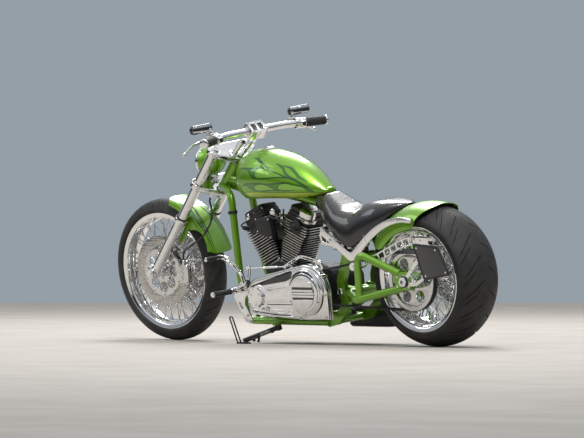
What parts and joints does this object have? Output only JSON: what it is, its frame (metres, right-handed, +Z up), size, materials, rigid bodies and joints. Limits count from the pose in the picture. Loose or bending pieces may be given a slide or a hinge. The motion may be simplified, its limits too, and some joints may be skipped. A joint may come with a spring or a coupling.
{
  "type": "chopper motorcycle",
  "caption": "Long low chopper motorcycle with a raked fork, wire wheels, a wide rear tyre and an open V-twin, parked on its side stand.",
  "frame": {"origin": "middle of the bounding box's bottom face, on the ground under the parked motorcycle", "axes": "+X forward, +Y to the rider's left, +Z up; the machine leans 7.5 degrees to +Y on its side stand"},
  "size_m": [2.4434, 0.8828, 1.132],
  "materials": {
    "green_paint": "lime green metallic under clear coat",
    "chrome": "bright chrome plate",
    "black_enamel": "satin black enamel",
    "tyre_rubber": "black tyre rubber",
    "black_leather": "smooth black leather",
    "lamp_glass": "clear lens",
    "belt_rubber": "black rubber",
    "grip_rubber": "black grip rubber",
    "mirror_case": "glossy dark case",
    "dark_plate": "dark glossy blank plate",
    "disc_steel": "turned steel",
    "polished_alloy": "polished alloy"
  },
  "bodies": {
    "front_wheel": {"front_tyre": "tyre_rubber", "front_rim": "chrome", "front_hub_spokes": "chrome", "front_discs": "disc_steel"},
    "rear_wheel": {"rear_tyre": "tyre_rubber", "rear_rim": "chrome", "rear_hub_spokes": "chrome", "rear_disc": "disc_steel", "rear_pulley": "chrome"},
    "chassis": {"drive_belt": "belt_rubber", "rear_axle": "chrome", "rear_fender": "green_paint", "fender_struts": "chrome", "frame": "green_paint", "swingarm": "green_paint", "fuel_tank": "green_paint", "fuel_cap": "chrome", "seat": "black_leather", "oil_tank": "chrome", "side_covers": "chrome", "cylinders": "black_enamel", "cylinder_heads": "black_enamel", "rocker_boxes": "polished_alloy", "crankcase": "black_enamel", "cam_cover": "black_enamel", "air_cleaner": "chrome", "coil_cover": "black_enamel", "gearbox": "black_enamel", "primary_cover": "chrome", "exhaust": "black_enamel", "foot_controls": "chrome", "shift_linkage": "chrome", "rear_caliper": "polished_alloy", "belt_guard": "chrome", "plate_bracket": "chrome", "number_plate": "dark_plate"},
    "steering": {"front_axle": "chrome", "fork_legs": "chrome", "lower_yoke": "chrome", "upper_yoke": "chrome", "grips": "grip_rubber", "handlebar": "chrome", "hand_controls": "chrome", "mirrors": "mirror_case", "headlamp": "green_paint", "headlamp_lens": "lamp_glass", "front_fender": "green_paint", "front_calipers": "polished_alloy", "brake_hose": "belt_rubber"},
    "side_stand": {"side_stand": "black_enamel"}
  },
  "joints": [
    {"name": "steer", "type": "hinge", "parent": "chassis", "child": "steering", "pos_m": [0.40973, -0.02011, 0.79384], "axis": [-0.6428, 0.1, 0.7595], "range_deg": [-31.5, 28.5]},
    {"name": "front_spin", "type": "hinge", "parent": "steering", "child": "front_wheel", "pos_m": [0.87732, -0.07796, 0.34136], "axis": [-0.0201, 0.9889, -0.1472], "continuous": true},
    {"name": "rear_spin", "type": "hinge", "parent": "chassis", "child": "rear_wheel", "pos_m": [-0.89266, -0.08148, 0.32764], "axis": [0, 0.9914, -0.1305], "continuous": true},
    {"name": "stand_fold", "type": "hinge", "parent": "chassis", "child": "side_stand", "pos_m": [0.01934, 0.03986, 0.07719], "axis": [0.141, 0.3317, 0.9328], "range_deg": [0, 76]}
  ]
}
